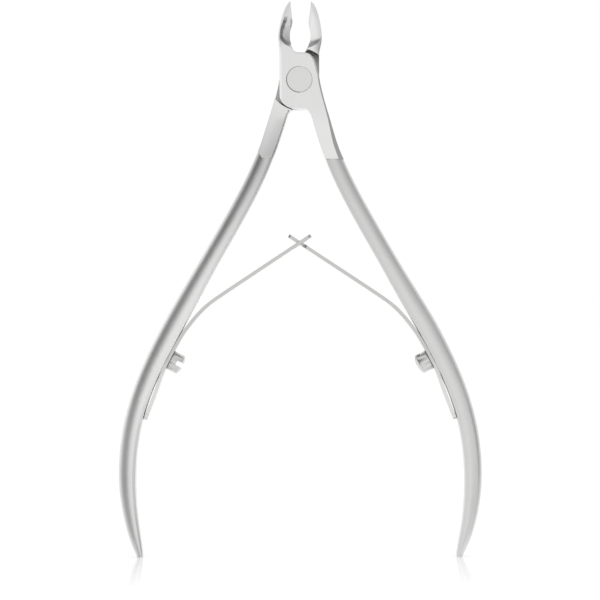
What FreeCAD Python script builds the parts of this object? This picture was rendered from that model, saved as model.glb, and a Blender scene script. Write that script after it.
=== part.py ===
import FreeCAD, Part
import math
import os

# Cuticle nipper: two lap-jointed forged levers on a flush rivet, held open by
# two crossed leaf springs, each fastened to its handle with one slotted screw.
# X runs to the right, Y from the front of the tool to its back, Z from the
# handle tips to the jaw tips. The origin is on the pivot axis, at the flat back
# face of the joint. The tool is fully open. Lengths are mm, angles degrees.
# Every lever is drawn with its jaw on the left and its shank on the right, every
# spring and screw on the right; their partners are mirrored in X.

Vector = FreeCAD.Vector

# ------------------------------------------------------------------- joint
JOINT_T = 5.20              # front face to back face
LAP_GAP = 0.02              # running gap between the two lap halves
Y_FRONT = -JOINT_T
Y_MID = -JOINT_T / 2.0
SHOULDER_R = 5.66           # the lap shoulders are arcs about the pivot
BACK_JAW_TURN = 2.25        # the back lever's jaw is set this much further open
JAW_TURN_START = 4.6        # height where that turn begins
JAW_TURN_FADE = 2.8         # and the height over which it grows to full

HEAD_CHAMFER = 0.28         # bevel width on the outer edges of the head
SHANK_BEVEL_END = 0.85      # bevel width where the shank's outer edge meets the handle
BEVEL_GROW_START = 6.0      # distance below the pivot where the outer bevel widens
BEVEL_GROW_LEN = 7.0        # and the height over which it does
BEVEL_DEPTH_RATIO = 1.15    # bevel depth down the side, as a part of its width

# ------------------------------------------------------------------- rivet
RIVET_HEAD_R = 2.34
RIVET_SHANK_R = 1.50
RIVET_BACK_R = 2.05
RIVET_LAND = 0.55           # length of each head, up to its 45 degree cone
RIVET_FIT = 0.015           # radial, in the front lever, which holds it
RIVET_RUN = 0.05            # radial, in the back lever, which turns on it
RIVET_EDGE = 0.07           # bevel round the head, which shows as a fine seam
CONE_SHIFT = 0.414          # tan 22.5: cone end shift for a unit of growth
MOUTH_OVERRUN = 0.2         # the mouth bevels run this far out of the faces

# ----------------------------------------------------------------- springs
SPRING_T = 0.60
SPRING_W_BASE = 4.00
SPRING_W_TIP = 3.20
TAIL_CORNER_R = 1.2
KNUCKLE_GAP = 0.03          # between the base's round end and the leaf
FLEX = (19.00, -43.17)      # joint line of base and leaf (x, z)
CROSS_Z = -29.67            # the leaves cross at x = 0
STRIP_STEPS = 60

# distances along the leaf from the crossing, positive towards the tip
LEAF_START = -26.0          # clear of the leaf's root
TAPER_START = -20.0
TAPER_END = -5.0
LEAF_TIP = 2.60
TIP_BEVEL = 0.7             # corner bevels of the windowed leaf's end
WINDOW_W = 1.90             # slot in the left leaf
WINDOW_LEN = 2.90
TONGUE_W = 1.50             # narrowed end of the right leaf
TONGUE_ROOT = 1.00          # its shoulder, this far before the crossing
TONGUE_BEVEL = 0.4
SHOULDER_BEVEL = 0.5

FLEX_TANGENT = Vector(-0.668, 0, 0.744)
TIP_TANGENT = Vector(-0.838, 0, 0.546)
TAIL_TANGENT = Vector(-0.350, 0, 0.937)

# centre line of the right spring, tail to tip (x, z)
SPRING_BASE_PATH = [
    (28.249, -61.887), (27.029, -58.687), (25.889, -55.587), (24.738, -52.442),
    (23.915, -50.842), (23.092, -49.242), (22.079, -47.437), (20.948, -45.650),
    (20.369, -44.888), FLEX,
]
SPRING_LEAF_PATH = [
    FLEX, (18.05, -42.140), (17.20, -41.320), (16.20, -40.500), (14.33, -39.180),
    (12.15, -37.720), (7.75, -34.800), (3.33, -31.870), (0.0, CROSS_Z),
    (-2.03, -28.340),
]

# ------------------------------------------------------------------ screws
SCREW_SEAT = Vector(24.221, Y_MID, -50.684)     # handle surface on the screw axis
SCREW_AXIS = Vector(-0.889, 0, -0.457)          # from the handle to the screw head
SPRING_SEAT_GAP = 0.045     # handle to spring
HEAD_SEAT_GAP = 0.02        # spring to screw head
SCREW_HEAD_R = 1.82
SCREW_HEAD_H = 2.05
SCREW_CROWN = 0.50          # height of the domed top
SCREW_LIP = 0.12            # bevel under the head
SCREW_SHANK_R = 0.95
SCREW_SHANK_L = 2.30
SCREW_END_BEVEL = 0.2
SCREW_HOLE_R = 0.98
SCREW_HOLE_L = 2.50
SPRING_HOLE_R = 1.05
SPOT_R = 2.3                # flat spot round the screw hole
SPOT_DEPTH = 0.01
SPOT_TOOL_H = 1.2
SLOT_W = 0.87
SLOT_D = 1.40
SLOT_LEN = 8.0              # longer than the head is wide
RIGHT_SLOT_TURN = 62.0      # slot direction, from Y about the screw axis
LEFT_SLOT_TURN = 4.0

# ------------------------------------------- lever outline, front lever (x, z)
JAW_OUTER = [
    (-3.62, 4.10), (-3.66, 5.60), (-3.74, 6.60), (-3.79, 7.40), (-3.74, 8.40),
    (-3.60, 9.60), (-3.40, 10.70), (-3.14, 11.75), (-2.80, 12.84), (-2.34, 13.84),
    (-1.64, 14.66),
]
JAW_INNER = [
    (-1.24, 10.89), (-1.42, 10.09), (-1.62, 9.40), (-1.74, 8.60), (-1.74, 7.90),
    (-1.64, 7.30), (-1.50, 6.73), (-1.42, 6.20), (-1.26, 5.60), (-0.86, 5.09),
    (-0.30, 4.92),
]
BLADE = [JAW_OUTER[-1], JAW_INNER[0]]       # straight cutting edge, tip first
LAP_TOP = [
    JAW_INNER[-1], (0.60, 4.90), (1.30, 4.81), (1.92, 4.55), (2.36, 4.19),
    (2.68, 3.72), (2.94, 3.00), (3.20, 2.06), (3.43, 1.20), (3.56, 0.66),
]
SHANK_OUTER = [
    LAP_TOP[-1], (4.07, -1.96), (4.86, -4.93), (5.70, -7.60), (6.52, -10.20),
]
SHANK_INNER = [
    (3.863, -11.62), (3.391, -10.20), (2.90, -8.70), (2.50, -7.40), (2.06, -6.20),
    (1.62, -5.55), (1.00, -5.30),
]
LAP_CORNER = [
    (-1.45, -5.26), (-2.12, -5.04), (-2.78, -4.59), (-3.33, -3.99), (-3.58, -3.25),
    (-3.62, -2.60),
]
# where the flat shank stops, from its outer to its inner edge
SHANK_END_FRONT = [(8.200, -14.450), (4.960, -14.450)]
SHANK_END_BACK = [(7.540, -13.080), (6.880, -14.260), (4.890, -14.260)]

# X shift of the front lever's shank and handle (z, shift)
FRONT_SHIFT = [
    (-88.0, -0.28), (-84.8, -0.18), (-82.3, -0.07), (-79.3, 0.0), (-46.0, 0.0),
    (-43.4, -0.05), (-40.9, -0.16), (-38.3, -0.27), (-35.7, -0.31), (-33.2, -0.27),
    (-28.0, -0.25), (-22.0, -0.22), (-16.0, -0.19), (-12.0, -0.14), (-9.0, -0.08),
    (-6.5, 0.0),
]

# ------------------------------------------------------------------ handle
HANDLE_INNER = 0.80         # width of the flat inner face as a part of the depth
INNER_BEVEL = 0.16          # bevel beside that face, as a part of the thickness
INNER_BEVEL_MAX = 0.5
BEVEL_TOP_DEPTH = 0.985     # depth at the bevel's far end, as a part of the widest
WIDEST_AT = 0.30            # place of the widest depth, as a part of the thickness
ROUND_AT = (0.50, 0.66, 0.80, 0.90, 0.97)   # section points beyond it

# inner edge point (x, z), outward normal (x, z), in-plane thickness,
# depth in Y, fullness of the section (2 is an ellipse)
HANDLE = [
    (3.930, -11.430, 0.946, 0.323, 2.830, 5.12, 2.72),
    (4.360, -12.730, 0.941, 0.340, 2.889, 5.12, 2.72),
    (4.865, -14.120, 0.933, 0.360, 2.957, 5.14, 2.72),
    (5.517, -15.830, 0.923, 0.385, 3.047, 5.15, 2.71),
    (6.482, -18.030, 0.909, 0.417, 3.078, 5.13, 2.70),
    (7.836, -20.830, 0.892, 0.452, 3.114, 5.10, 2.68),
    (9.689, -24.330, 0.877, 0.481, 3.150, 5.08, 2.64),
    (12.224, -28.830, 0.868, 0.497, 3.185, 5.08, 2.58),
    (15.100, -33.830, 0.867, 0.498, 3.236, 5.10, 2.52),
    (18.115, -39.402, 0.870, 0.494, 3.503, 5.13, 2.46),
    (21.143, -44.937, 0.875, 0.485, 3.636, 5.16, 2.42),
    (24.091, -50.430, 0.890, 0.455, 3.576, 5.16, 2.40),
    (26.448, -55.416, 0.920, 0.392, 3.447, 5.10, 2.38),
    (28.119, -59.896, 0.954, 0.301, 3.338, 4.98, 2.35),
    (29.158, -63.874, 0.979, 0.202, 3.275, 4.82, 2.28),
    (29.775, -67.853, 0.994, 0.106, 3.218, 4.62, 2.20),
    (30.031, -71.835, 1.000, 0.025, 3.150, 4.38, 2.12),
    (29.988, -75.820, 0.999, -0.046, 2.946, 4.10, 2.08),
    (29.711, -79.305, 0.993, -0.114, 2.613, 3.82, 2.05),
    (29.337, -82.293, 0.986, -0.169, 2.237, 3.55, 2.04),
    (28.975, -84.796, 0.985, -0.175, 1.739, 3.25, 2.02),
    (28.765, -86.812, 0.990, -0.140, 1.090, 2.95, 2.01),
]

# --------------------------------------------------------------------- jaw
# side profile: front rim and back surface (z, y)
JAW_FRONT = [
    (6.2, Y_FRONT), (7.4, -4.96), (8.6, -4.40), (9.8, -3.62), (11.0, -2.80),
    (12.2, -2.18), (13.4, -1.86), (14.9, -1.62),
]
JAW_BACK = [
    (5.6, 0.0), (7.6, -0.06), (9.4, -0.20), (11.2, -0.42), (13.0, -0.70),
    (15.0, -1.04),
]
TAPER_TOOL_X = 8.0          # the taper tools run from -this to x = 0
TAPER_TOOL_Y = 20.0         # and this far out of the jaw

# hollow grind in the front of the jaw: plan line of its rim (x, z)
RIM = [
    (-0.90, 5.62), (-1.53, 5.80), (-1.96, 5.98), (-2.60, 6.36), (-3.14, 6.84),
    (-3.46, 7.32), (-3.58, 7.85), (-3.57, 8.45), (-3.49, 9.05), (-3.31, 9.82),
    (-3.02, 10.74), (-2.70, 11.60), (-2.30, 12.50), (-1.86, 13.40),
    (-1.42, 14.25), (-1.00, 15.00),
]
WALL_SIDE = 0.50            # width of the wall along the side
WALL_RUNOUT = 1.00          # and along the bottom run-out
WALL_CHANGE_START = 6.6     # height on the rim where the wall starts to narrow
WALL_CHANGE_LEN = 1.8
EDGE_LAND = 0.07            # blade thickness at the cutting edge
EDGE_BEVEL = 0.32           # width of the bevel along the cutting edge
EDGE_RISE = 0.40            # its depth
FLOOR_SLOPE = 0.46
EXTRA_TOP = 11.40           # below this height the blade gets thicker
EXTRA_RATE = 0.055          # by this much times the square of the distance

# sampling grid of the hollow's surface: start, span, number of points
GRID_X = (-4.05, 3.45, 23)
GRID_Z = (5.5, 9.7, 40)
GRID_Y_LIMITS = (-9.0, 0.6)
HOLLOW_TOOL_Y = 14.0        # the tool runs this far forward of its surface

# --------------------------------------------------------- edge treatments
# soft crown on the outer edge of the jaw and joint: z, width, depth
CROWN_W = 0.90              # at the joint
CROWN_D = 0.24
CROWN_FRONT = [(4.2, CROWN_W, CROWN_D), (6.4, 0.34, 0.22), (8.0, 0.16, 0.16),
               (13.7, 0.10, 0.10)]
CROWN_BACK = [(4.2, CROWN_W, CROWN_D), (7.0, 0.95, 0.95), (11.0, 1.00, 1.00),
              (13.7, 0.55, 0.50)]
CROWN_JAW_Z = [5.0, 6.2, 7.4, 8.6, 9.8, 11.0, 12.1, 13.0, 13.7]
CROWN_LAP_Z = [-3.6 + 1.2 * i for i in range(7)]    # on the lap half's own face
CROWN_SHOULDER_Z = [3.4, 4.2]                       # on the opposite face
CROWN_END_X = 0.9           # last station: shift in X per unit of the normal's z
CROWN_END_Z = 0.75          # its rise
CROWN_END_SCALE = 0.8       # and its size against the one before

# heights of the stations along the shank bevels
BEVEL_LAP_Z = [4.0, 3.0, 2.0, 1.2, 0.7]
BEVEL_OUTER_Z = [-0.6, -2.6, -4.8, -7.0, -9.4, -11.4]
BEVEL_INNER_Z = [-6.1, -6.9, -7.8, -8.8, -9.9, -11.0, -12.2]
BEVEL_END_GAP = 0.1         # the last station is this far above the shank's end

# relief of the lap's upper edge: x, z, normal x, normal z, width, depth
LAP_TOP_RELIEF = [
    (-1.16, 5.42, 0.78, 0.62, 0.08, 0.03),
    (-0.80, 5.06, 0.50, 0.87, 0.16, 0.06),
    (-0.34, 4.93, 0.15, 0.99, 0.26, 0.10),
    (0.15, 4.92, 0.02, 1.0, 0.28, 0.10),
    (0.62, 4.90, 0.06, 0.998, 0.28, 0.10),
    (1.10, 4.85, 0.16, 0.987, 0.28, 0.10),
    (1.56, 4.73, 0.34, 0.94, 0.28, 0.10),
]

CUTTER_MARGIN = 0.25        # edge cutters stand this far out of the metal
ARC_MID = 0.2929            # 1 - cos 45: depth of a quarter arc's middle
ARC_OVERRUN = 0.10          # the arc's ends run on by this part of its size
ARC_LIFT = 0.035            # and stand off the faces by this part


# ---------------------------------------------------------- curves and edges
def in_plane(points):
    """Vectors at y = 0 from points that start with x, z."""
    return [Vector(p[0], 0.0, p[1]) for p in points]


def curve_through(points):
    curve = Part.BSplineCurve()
    curve.interpolate(points)
    return curve


def spline(points):
    return curve_through(points).toShape()


def lines(*points):
    """Straight edges from each point to the next."""
    return [Part.LineSegment(a, b).toShape() for a, b in zip(points, points[1:])]


def curve_samples(curve, steps):
    """Evenly spaced parameters, both ends included."""
    first, last = curve.FirstParameter, curve.LastParameter
    return [first + (last - first) * i / float(steps) for i in range(steps + 1)]


# ------------------------------------------------------------------- solids
def prism(edges, y_start, y_end):
    face = Part.Face(Part.Wire(edges))
    face.translate(Vector(0, y_start, 0))
    return face.extrude(Vector(0, y_end - y_start, 0))


def cylinder_y(radius, y_start, y_end, x=0.0, z=0.0):
    return Part.makeCylinder(radius, y_end - y_start, Vector(x, y_start, z),
                             Vector(0, 1, 0))


def screw_axis_cylinder(radius, length, start):
    """Cylinder along the screw axis into the handle, from start above the seat."""
    return Part.makeCylinder(radius, length, SCREW_SEAT + SCREW_AXIS * start,
                             SCREW_AXIS * -1.0)


def mirror_x(shape):
    return shape.mirror(Vector(0, 0, 0), Vector(1, 0, 0))


# ----------------------------------------------------------------- look-ups
def clamp(value):
    return max(0.0, min(1.0, value))


def smooth_step(value, start, length):
    """Eases from 0 at start to 1 at start + length."""
    f = clamp((value - start) / length)
    return f * f * (3.0 - 2.0 * f)


def table(rows, z, column=1):
    """Linear look-up at z of a column in rows that start with z."""
    if z <= rows[0][0]:
        return rows[0][column]
    for low, high in zip(rows, rows[1:]):
        if z <= high[0]:
            rise = high[column] - low[column]
            return low[column] + rise * (z - low[0]) / (high[0] - low[0])
    return rows[-1][column]


def profile_y(profile, z):
    """y at z on the same curve that tapers the jaw."""
    if z <= profile[0][0]:
        return profile[0][1]
    curve = curve_through([Vector(0, y, height) for height, y in profile])
    points = (curve.value(u) for u in curve_samples(curve, 600))
    return min(points, key=lambda p: abs(p.z - z)).y


def smooth_fit(rows):
    """Cubic through (z, y) rows, carried on straight past the last one."""
    slopes = []
    for i in range(len(rows)):
        before, after = rows[max(0, i - 1)], rows[min(len(rows) - 1, i + 1)]
        slopes.append((after[1] - before[1]) / (after[0] - before[0]))

    def value(z):
        z = max(rows[0][0], z)
        for i in range(len(rows) - 1):
            (z0, y0), (z1, y1) = rows[i], rows[i + 1]
            if z <= z1 or i == len(rows) - 2:
                span = z1 - z0
                t = (z - z0) / span
                if t > 1.0:
                    return y1 + slopes[-1] * (z - z1)
                return ((2 * t ** 3 - 3 * t * t + 1) * y0
                        + (t ** 3 - 2 * t * t + t) * span * slopes[i]
                        + (3 * t * t - 2 * t ** 3) * y1
                        + (t ** 3 - t * t) * span * slopes[i + 1])
    return value


def curve_stations(points, heights, outward):
    """Point and unit normal (x, z, nx, nz) of the curve at each height.

    outward is the sign of the normal's x.
    """
    curve = curve_through(in_plane(points))
    samples = curve_samples(curve, 400)
    stations = []
    for z in heights:
        nearest = min(samples, key=lambda u: abs(curve.value(u).z - z))
        point = curve.value(nearest)
        tangent = curve.tangent(nearest)[0]
        normal = Vector(-tangent.z, 0, tangent.x)
        if normal.x * outward < 0:
            normal = normal * -1.0
        stations.append((point.x, point.z, normal.x, normal.z))
    return stations


# ------------------------------------------------------------ lever outline
def turned(points, turn):
    """Jaw outline points turned outward about the pivot, fading to the lap."""
    result = []
    for x, z in points:
        angle = math.radians(turn * smooth_step(z, JAW_TURN_START, JAW_TURN_FADE))
        result.append((x * math.cos(angle) - z * math.sin(angle),
                       z * math.cos(angle) + x * math.sin(angle)))
    return result


def shifted(points, front):
    """Shank or handle rows (x, z, ...), set in if they are the front lever's."""
    if not front:
        return list(points)
    return [(p[0] + table(FRONT_SHIFT, p[1]),) + tuple(p[1:]) for p in points]


def outline_edges(shank_end, turn, front):
    """Closed outline of jaw, lap half and shank."""
    jaw_outer = in_plane(turned(JAW_OUTER, turn))
    jaw_inner = in_plane(turned(JAW_INNER, turn))
    shank_outer = in_plane(shifted(SHANK_OUTER + [shank_end[0]], front))
    shank_inner = in_plane(shifted([shank_end[-1]] + SHANK_INNER, front))
    corner = in_plane(LAP_CORNER)
    return ([spline(jaw_outer)]
            + lines(*in_plane(turned(BLADE, turn)))
            + [spline(jaw_inner),
               spline([jaw_inner[-1]] + in_plane(LAP_TOP[1:])),
               spline(shank_outer)]
            + lines(*in_plane(shifted(shank_end, front)))
            + [spline(shank_inner)]
            + lines(shank_inner[-1], corner[0])
            + [spline(corner)]
            + lines(corner[-1], jaw_outer[0]))


def lever_blank(shank_end, turn, front):
    """Lap half at its own thickness, jaw and shank at the full thickness."""
    half_gap = LAP_GAP / 2.0
    own_half = (Y_FRONT, Y_MID - half_gap)
    other_half = (Y_MID - half_gap, 0.0)
    if not front:
        own_half = (Y_MID + half_gap, 0.0)
        other_half = (Y_FRONT, Y_MID + half_gap)
    lap = prism(outline_edges(shank_end, turn, front), *own_half)
    rest = prism(outline_edges(shank_end, turn, front), *other_half)
    rest = rest.cut(cylinder_y(SHOULDER_R, other_half[0] - 1, other_half[1] + 1))
    return lap.fuse(rest).removeSplitter()


# ---------------------------------------------------------------- jaw tools
def taper_tool(profile, face_sign):
    """Solid beyond the jaw's front (-1) or back (+1) profile."""
    x, far = -TAPER_TOOL_X, face_sign * TAPER_TOOL_Y
    points = [Vector(x, y, z) for z, y in profile]
    edges = [spline(points)] + lines(points[-1], Vector(x, far, profile[-1][0]),
                                     Vector(x, far, profile[0][0]), points[0])
    return Part.Face(Part.Wire(edges)).extrude(Vector(TAPER_TOOL_X, 0, 0))


jaw_back_y = smooth_fit(JAW_BACK)
jaw_front_y = smooth_fit([(4.0, Y_FRONT), (5.2, Y_FRONT)] + JAW_FRONT)


def rim_distance(x, z):
    """Signed distance inside the hollow's rim line, and the rim point's z."""
    best, side, rim_z = 1e9, 1.0, 0.0
    for (x0, z0), (x1, z1) in zip(RIM, RIM[1:]):
        dx, dz = x1 - x0, z1 - z0
        t = clamp(((x - x0) * dx + (z - z0) * dz) / (dx * dx + dz * dz))
        near_x, near_z = x0 + t * dx, z0 + t * dz
        distance = math.hypot(x - near_x, z - near_z)
        if distance < best:
            best, rim_z = distance, near_z
            side = 1.0 if dx * (z - z0) - dz * (x - x0) < 0 else -1.0
    return best * side, rim_z


def hollow_y(x, z):
    """y of the hollow grind's surface at (x, z)."""
    (tip_x, tip_z), (heel_x, heel_z) = BLADE
    edge_x = heel_x + (z - heel_z) * (tip_x - heel_x) / (tip_z - heel_z)
    from_edge = min(edge_x, heel_x) - x
    back = jaw_back_y(z) - EXTRA_RATE * max(0.0, EXTRA_TOP - z) ** 2
    if from_edge < EDGE_BEVEL:
        floor = back - EDGE_LAND - EDGE_RISE * from_edge / EDGE_BEVEL
    else:
        floor = back - EDGE_LAND - EDGE_RISE - FLOOR_SLOPE * (from_edge - EDGE_BEVEL)

    inside, rim_z = rim_distance(x, z)
    f = smooth_step(rim_z, WALL_CHANGE_START, WALL_CHANGE_LEN)
    wall = WALL_RUNOUT * (1.0 - f) + WALL_SIDE * f
    rim = jaw_front_y(z)
    depth = floor - rim
    if inside <= 0.0:
        # carries the wall's slope on outside the rim
        return rim + inside * 2.0 * depth / wall
    if inside >= wall:
        return floor
    return floor - depth * (1.0 - inside / wall) ** 2


def hollow_tool(turn):
    """Solid in front of the hollow's surface, turned with the jaw."""
    (x_start, x_span, x_count), (z_start, z_span, z_count) = GRID_X, GRID_Z
    y_low, y_high = GRID_Y_LIMITS
    rows = []
    for i in range(z_count):
        z = z_start + z_span * i / (z_count - 1.0)
        row = []
        for k in range(x_count):
            x = x_start + x_span * k / (x_count - 1.0)
            row.append(Vector(x, max(y_low, min(y_high, hollow_y(x, z))), z))
        rows.append(row)
    surface = Part.BSplineSurface()
    surface.interpolate(rows)
    tool = surface.toShape().extrude(Vector(0, -HOLLOW_TOOL_Y, 0))
    # the extrusion may come out inside out
    if tool.Volume < 0:
        tool.reverse()
    tool.rotate(Vector(0, 0, 0), Vector(0, 1, 0), -turn)
    return tool


# ------------------------------------------------------------- edge cutters
def edge_cutter(stations, face_sign, rounded):
    """Solid that bevels or rounds a long edge.

    stations: (x, z, outward normal x, z, y of the face, width across the
    face, depth down the side). face_sign is -1 for a front face, +1 for a
    back face.
    """
    margin = CUTTER_MARGIN
    wires = []
    for x, z, nx, nz, y, width, depth in stations:

        def at(out, lift):
            """Point out along the normal, and lifted off the face."""
            return Vector(x + nx * out, y + face_sign * lift, z + nz * out)

        if rounded:
            # the arc crosses both faces at a slight angle, never tangent
            face_end = -width - ARC_OVERRUN * width
            side_end = -depth - ARC_OVERRUN * depth
            start = at(face_end, ARC_LIFT * width)
            middle = at(-width * ARC_MID, -depth * ARC_MID)
            end = at(ARC_LIFT * depth, side_end)
            edges = [Part.Arc(start, middle, end).toShape()]
            edges += lines(end, at(margin, side_end), at(margin, margin),
                           at(face_end, margin), start)
        else:
            start = at(-width - margin * width / depth, margin)
            end = at(margin, -depth - margin * depth / width)
            edges = lines(start, end, at(margin, margin), start)
        wires.append(Part.Wire(edges))
    return Part.makeLoft(wires, True, False)


def extended(rows, start, stop):
    """Stations with one more past each end, along the edge."""
    def beyond(end_row, next_row, distance):
        x, z = end_row[:2]
        x1, z1 = next_row[:2]
        gap = math.hypot(x1 - x, z1 - z)
        return (x - (x1 - x) / gap * distance,
                z - (z1 - z) / gap * distance) + end_row[2:]

    return ([beyond(rows[0], rows[1], start)] + rows
            + [beyond(rows[-1], rows[-2], stop)])


def face_y(face_sign):
    return Y_FRONT if face_sign < 0 else 0.0


def shank_bevel(face_sign, shank_end, outer, front):
    """Bevel along the outer edge of lap and shank, or the shank's inner edge."""
    if outer:
        heights = BEVEL_OUTER_Z + [shank_end[0][1] + BEVEL_END_GAP]
        edge = shifted(SHANK_OUTER + [shank_end[0]], front)
        stations = (curve_stations(LAP_TOP, BEVEL_LAP_Z, 1)
                    + curve_stations(edge, heights, 1))
    else:
        heights = BEVEL_INNER_Z + [shank_end[-1][1] + BEVEL_END_GAP]
        edge = shifted([shank_end[-1]] + SHANK_INNER, front)
        stations = curve_stations(edge, heights, -1)
    rows = []
    for x, z, nx, nz in stations:
        width = HEAD_CHAMFER
        if outer:
            t = clamp((-z - BEVEL_GROW_START) / BEVEL_GROW_LEN)
            width = HEAD_CHAMFER * (1.0 - t) + SHANK_BEVEL_END * t
        rows.append((x, z, nx, nz, face_y(face_sign), width,
                     width * BEVEL_DEPTH_RATIO))
    rows = extended(rows, start=1.0 if outer else 0.5, stop=1.0)
    return edge_cutter(rows, face_sign, rounded=False)


def lap_top_bevel(face_sign):
    """Slight relief of the lap's upper edge, between the jaws."""
    rows = [(x, z, nx, nz, face_y(face_sign), width, depth)
            for x, z, nx, nz, width, depth in LAP_TOP_RELIEF]
    return edge_cutter(extended(rows, start=0.7, stop=0.9), face_sign, rounded=False)


def jaw_crown(face_sign, own_face, turn):
    """Crowns the outer edge of the jaw and the joint below it."""
    profile, sizes = JAW_FRONT, CROWN_FRONT
    if face_sign > 0:
        profile, sizes = JAW_BACK, CROWN_BACK
    stations = [(LAP_CORNER[-1][0], z, -1.0, 0.0)
                for z in (CROWN_LAP_Z if own_face else CROWN_SHOULDER_Z)]
    stations += curve_stations(turned(JAW_OUTER, turn), CROWN_JAW_Z, -1)
    rows = [(x, z, nx, nz, profile_y(profile, z), table(sizes, z, 1),
             table(sizes, z, 2)) for x, z, nx, nz in stations]
    x, z, nx, nz, _, width, depth = rows[-1]
    end_z = z + CROWN_END_Z
    rows.append((x + CROWN_END_X * nz, end_z, nx, nz, profile_y(profile, end_z),
                 width * CROWN_END_SCALE, depth * CROWN_END_SCALE))
    return edge_cutter(rows, face_sign, rounded=True)


# ------------------------------------------------------------------- handle
def handle_section(station):
    """Closed section: flat inner face, short bevels, rounded outside."""
    x, z, nx, nz, thickness, depth, fullness = station
    half_depth = depth / 2.0
    half_flat = HANDLE_INNER * half_depth
    bevel = min(INNER_BEVEL * thickness, INNER_BEVEL_MAX)
    bevel_y = half_depth * BEVEL_TOP_DEPTH

    def at(out, across):
        return Vector(x + nx * out, Y_MID + across, z + nz * out)

    side = [(bevel, bevel_y), (WIDEST_AT * thickness, half_depth)]
    for f in ROUND_AT:
        k = (f - WIDEST_AT) / (1.0 - WIDEST_AT)
        side.append((f * thickness,
                     half_depth * (1.0 - k ** fullness) ** (1.0 / fullness)))
    outside = side + [(thickness, 0.0)] + [(out, -y) for out, y in reversed(side)]
    return Part.Wire([spline([at(out, y) for out, y in outside])]
                     + lines(at(bevel, -bevel_y), at(0, -half_flat),
                             at(0, half_flat), at(bevel, bevel_y)))


# -------------------------------------------------------------------- rivet
def rivet_profile(growth, edge):
    """Half section (r, y) of the rivet, grown all round, heads bevelled by edge."""
    head_r = RIVET_HEAD_R + growth
    shank_r = RIVET_SHANK_R + growth
    back_r = RIVET_BACK_R + growth
    shift = growth * CONE_SHIFT
    head_end = Y_FRONT + RIVET_LAND + shift
    back_start = -RIVET_LAND - shift
    return [(0, Y_FRONT), (head_r - edge, Y_FRONT), (head_r, Y_FRONT + edge),
            (head_r, head_end), (shank_r, head_end + (head_r - shank_r)),
            (shank_r, back_start - (back_r - shank_r)), (back_r, back_start),
            (back_r, -edge), (back_r - edge, 0), (0, 0)]


def revolve_y(profile):
    points = [Vector(r, y, 0) for r, y in profile]
    face = Part.Face(Part.makePolygon(points + [points[0]]))
    return face.revolve(Vector(0, 0, 0), Vector(0, 1, 0), 360)


def rivet_hole(growth):
    """The grown rivet with both mouths opened and bevelled."""
    head_r, back_r = RIVET_HEAD_R + growth, RIVET_BACK_R + growth
    length = RIVET_EDGE + MOUTH_OVERRUN
    tool = revolve_y(rivet_profile(growth, 0.0))
    tool = tool.fuse(Part.makeCone(head_r + length, head_r, length,
                                   Vector(0, Y_FRONT - MOUTH_OVERRUN, 0),
                                   Vector(0, 1, 0)))
    return tool.fuse(Part.makeCone(back_r, back_r + length, length,
                                   Vector(0, -RIVET_EDGE, 0), Vector(0, 1, 0)))


# -------------------------------------------------------------------- lever
def build_lever(front):
    """Lever with its lap half at the front (or back) and its jaw at -X."""
    shank_end = SHANK_END_FRONT if front else SHANK_END_BACK
    turn = 0.0 if front else BACK_JAW_TURN
    own_sign = -1 if front else 1
    head = lever_blank(shank_end, turn, front)
    head = head.cut(taper_tool(JAW_FRONT, -1))
    head = head.cut(taper_tool(JAW_BACK, 1))
    head = head.cut(hollow_tool(turn))
    # the outer shank edge is bevelled on the lap half's own face, the inner
    # one on the opposite face
    for sign in (-1, 1):
        head = head.cut(shank_bevel(sign, shank_end, sign == own_sign, front))
    head = head.cut(lap_top_bevel(own_sign))
    for sign in (-1, 1):
        head = head.cut(jaw_crown(sign, sign == own_sign, turn))

    sections = [handle_section(station) for station in shifted(HANDLE, front)]
    lever = head.fuse(Part.makeLoft(sections, True, False))

    # screw hole and its seat in the inner face of the handle
    lever = lever.cut(screw_axis_cylinder(SPOT_R, SPOT_TOOL_H,
                                          start=SPOT_TOOL_H - SPOT_DEPTH))
    lever = lever.cut(screw_axis_cylinder(SCREW_HOLE_R, SCREW_HOLE_L + 1.0, start=1.0))
    return lever.cut(rivet_hole(RIVET_FIT if front else RIVET_RUN))


# ------------------------------------------------------------------ springs
def strip_solid(path, start_tangent, end_tangent):
    """Strip of the spring's thickness and base width about a smooth path."""
    curve = Part.BSplineCurve()
    curve.interpolate(Points=in_plane(path), InitialTangent=start_tangent,
                      FinalTangent=end_tangent)
    left, right = [], []
    for u in curve_samples(curve, STRIP_STEPS):
        point = curve.value(u)
        tangent = curve.tangent(u)[0]
        normal = Vector(-tangent.z, 0, tangent.x)
        left.append(point + normal * (SPRING_T / 2.0))
        right.append(point - normal * (SPRING_T / 2.0))
    edges = ([spline(left)] + lines(left[-1], right[-1])
             + [spline(list(reversed(right)))] + lines(right[0], left[0]))
    return prism(edges, Y_MID - SPRING_W_BASE / 2.0, Y_MID + SPRING_W_BASE / 2.0)


def spring_base():
    """Screwed part of the right spring, with a round end at the flex line."""
    half_width = SPRING_W_BASE / 2.0
    base = strip_solid(SPRING_BASE_PATH, TAIL_TANGENT, FLEX_TANGENT)
    base = base.fuse(cylinder_y(SPRING_T / 2.0, Y_MID - half_width,
                                Y_MID + half_width, *FLEX))
    base = base.cut(screw_axis_cylinder(SPRING_HOLE_R, 6.0, start=3.0))
    # rounded tail corners
    tail_x, tail_z = SPRING_BASE_PATH[0]
    radius = TAIL_CORNER_R
    for sign in (-1, 1):
        centre_y = Y_MID + sign * (half_width - radius)
        block_y = min(centre_y, centre_y + sign * 2 * radius)
        block = Part.makeBox(4, 2 * radius, radius + 1.0,
                             Vector(tail_x - 2.0, block_y, tail_z - 1.0))
        corner = Part.makeCylinder(radius, 6.0,
                                   Vector(tail_x - 3.0, centre_y, tail_z + radius),
                                   Vector(1, 0, 0))
        base = base.cut(block.cut(corner))
    return base.removeSplitter()


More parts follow.
